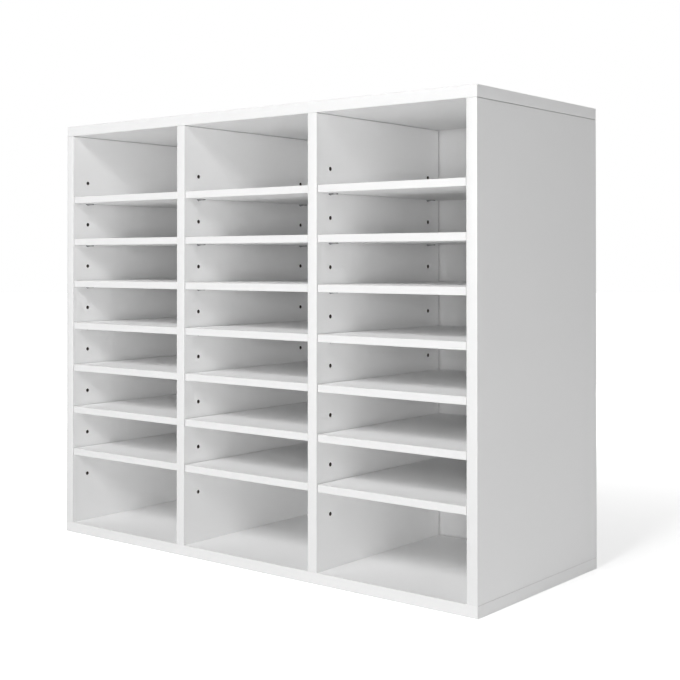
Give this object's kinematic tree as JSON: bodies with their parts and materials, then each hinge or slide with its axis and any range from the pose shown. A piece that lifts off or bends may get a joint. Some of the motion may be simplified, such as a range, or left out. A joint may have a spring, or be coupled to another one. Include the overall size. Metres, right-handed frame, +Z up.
{
  "type": "pigeonhole mail sorter",
  "caption": "Free-standing white board mail sorter: columns of open-fronted pigeonholes divided by loose shelves that lie on pins in line-bored walls and slide out at the front.",
  "frame": {"origin": "on the floor, at the middle of the footprint", "axes": "+X to the right seen from the front, +Y from the front to the back, +Z up"},
  "size_m": [0.74, 0.3, 0.62],
  "materials": {
    "white_board": "board with a satin white melamine facing",
    "back_board": "thin board with a satin white facing",
    "nickel_steel": "plated steel",
    "beech_dowel": "bare beech"
  },
  "bodies": {
    "carcass": {"top_panel": "white_board", "bottom_panel": "white_board", "left_side": "white_board", "left_divider": "white_board", "right_divider": "white_board", "right_side": "white_board", "back_panel_left": "back_board", "back_panel_centre": "back_board", "back_panel_right": "back_board", "screw_top_left_side_front": "nickel_steel", "screw_top_left_side_rear": "nickel_steel", "screw_top_left_divider_front": "nickel_steel", "screw_top_left_divider_rear": "nickel_steel", "screw_top_right_divider_front": "nickel_steel", "screw_top_right_divider_rear": "nickel_steel", "screw_top_right_side_front": "nickel_steel", "screw_top_right_side_rear": "nickel_steel", "screw_bottom_left_side_front": "nickel_steel", "screw_bottom_left_side_rear": "nickel_steel", "screw_bottom_left_divider_front": "nickel_steel", "screw_bottom_left_divider_rear": "nickel_steel", "screw_bottom_right_divider_front": "nickel_steel", "screw_bottom_right_divider_rear": "nickel_steel", "screw_bottom_right_side_front": "nickel_steel", "screw_bottom_right_side_rear": "nickel_steel", "dowel_top_left_side": "beech_dowel", "dowel_top_left_divider": "beech_dowel", "dowel_top_right_divider": "beech_dowel", "dowel_top_right_side": "beech_dowel", "dowel_bottom_left_side": "beech_dowel", "dowel_bottom_left_divider": "beech_dowel", "dowel_bottom_right_divider": "beech_dowel", "dowel_bottom_right_side": "beech_dowel"},
    "left_shelf_1": {"shelf_left_1": "white_board"},
    "left_shelf_2": {"shelf_left_2": "white_board"},
    "left_shelf_3": {"shelf_left_3": "white_board"},
    "left_shelf_4": {"shelf_left_4": "white_board"},
    "left_shelf_5": {"shelf_left_5": "white_board"},
    "left_shelf_6": {"shelf_left_6": "white_board"},
    "left_shelf_7": {"shelf_left_7": "white_board"},
    "centre_shelf_1": {"shelf_centre_1": "white_board"},
    "centre_shelf_2": {"shelf_centre_2": "white_board"},
    "centre_shelf_3": {"shelf_centre_3": "white_board"},
    "centre_shelf_4": {"shelf_centre_4": "white_board"},
    "centre_shelf_5": {"shelf_centre_5": "white_board"},
    "centre_shelf_6": {"shelf_centre_6": "white_board"},
    "centre_shelf_7": {"shelf_centre_7": "white_board"},
    "right_shelf_1": {"shelf_right_1": "white_board"},
    "right_shelf_2": {"shelf_right_2": "white_board"},
    "right_shelf_3": {"shelf_right_3": "white_board"},
    "right_shelf_4": {"shelf_right_4": "white_board"},
    "right_shelf_5": {"shelf_right_5": "white_board"},
    "right_shelf_6": {"shelf_right_6": "white_board"},
    "right_shelf_7": {"shelf_right_7": "white_board"}
  },
  "joints": [
    {"name": "left_slide_1", "type": "slide", "parent": "carcass", "child": "left_shelf_1", "axis": [0, -1, 0], "range_m": [0, 0.24]},
    {"name": "left_slide_2", "type": "slide", "parent": "carcass", "child": "left_shelf_2", "axis": [0, -1, 0], "range_m": [0, 0.24]},
    {"name": "left_slide_3", "type": "slide", "parent": "carcass", "child": "left_shelf_3", "axis": [0, -1, 0], "range_m": [0, 0.24]},
    {"name": "left_slide_4", "type": "slide", "parent": "carcass", "child": "left_shelf_4", "axis": [0, -1, 0], "range_m": [0, 0.24]},
    {"name": "left_slide_5", "type": "slide", "parent": "carcass", "child": "left_shelf_5", "axis": [0, -1, 0], "range_m": [0, 0.24]},
    {"name": "left_slide_6", "type": "slide", "parent": "carcass", "child": "left_shelf_6", "axis": [0, -1, 0], "range_m": [0, 0.24]},
    {"name": "left_slide_7", "type": "slide", "parent": "carcass", "child": "left_shelf_7", "axis": [0, -1, 0], "range_m": [0, 0.24]},
    {"name": "centre_slide_1", "type": "slide", "parent": "carcass", "child": "centre_shelf_1", "axis": [0, -1, 0], "range_m": [0, 0.24]},
    {"name": "centre_slide_2", "type": "slide", "parent": "carcass", "child": "centre_shelf_2", "axis": [0, -1, 0], "range_m": [0, 0.24]},
    {"name": "centre_slide_3", "type": "slide", "parent": "carcass", "child": "centre_shelf_3", "axis": [0, -1, 0], "range_m": [0, 0.24]},
    {"name": "centre_slide_4", "type": "slide", "parent": "carcass", "child": "centre_shelf_4", "axis": [0, -1, 0], "range_m": [0, 0.24]},
    {"name": "centre_slide_5", "type": "slide", "parent": "carcass", "child": "centre_shelf_5", "axis": [0, -1, 0], "range_m": [0, 0.24]},
    {"name": "centre_slide_6", "type": "slide", "parent": "carcass", "child": "centre_shelf_6", "axis": [0, -1, 0], "range_m": [0, 0.24]},
    {"name": "centre_slide_7", "type": "slide", "parent": "carcass", "child": "centre_shelf_7", "axis": [0, -1, 0], "range_m": [0, 0.24]},
    {"name": "right_slide_1", "type": "slide", "parent": "carcass", "child": "right_shelf_1", "axis": [0, -1, 0], "range_m": [0, 0.24]},
    {"name": "right_slide_2", "type": "slide", "parent": "carcass", "child": "right_shelf_2", "axis": [0, -1, 0], "range_m": [0, 0.24]},
    {"name": "right_slide_3", "type": "slide", "parent": "carcass", "child": "right_shelf_3", "axis": [0, -1, 0], "range_m": [0, 0.24]},
    {"name": "right_slide_4", "type": "slide", "parent": "carcass", "child": "right_shelf_4", "axis": [0, -1, 0], "range_m": [0, 0.24]},
    {"name": "right_slide_5", "type": "slide", "parent": "carcass", "child": "right_shelf_5", "axis": [0, -1, 0], "range_m": [0, 0.24]},
    {"name": "right_slide_6", "type": "slide", "parent": "carcass", "child": "right_shelf_6", "axis": [0, -1, 0], "range_m": [0, 0.24]},
    {"name": "right_slide_7", "type": "slide", "parent": "carcass", "child": "right_shelf_7", "axis": [0, -1, 0], "range_m": [0, 0.24]}
  ]
}
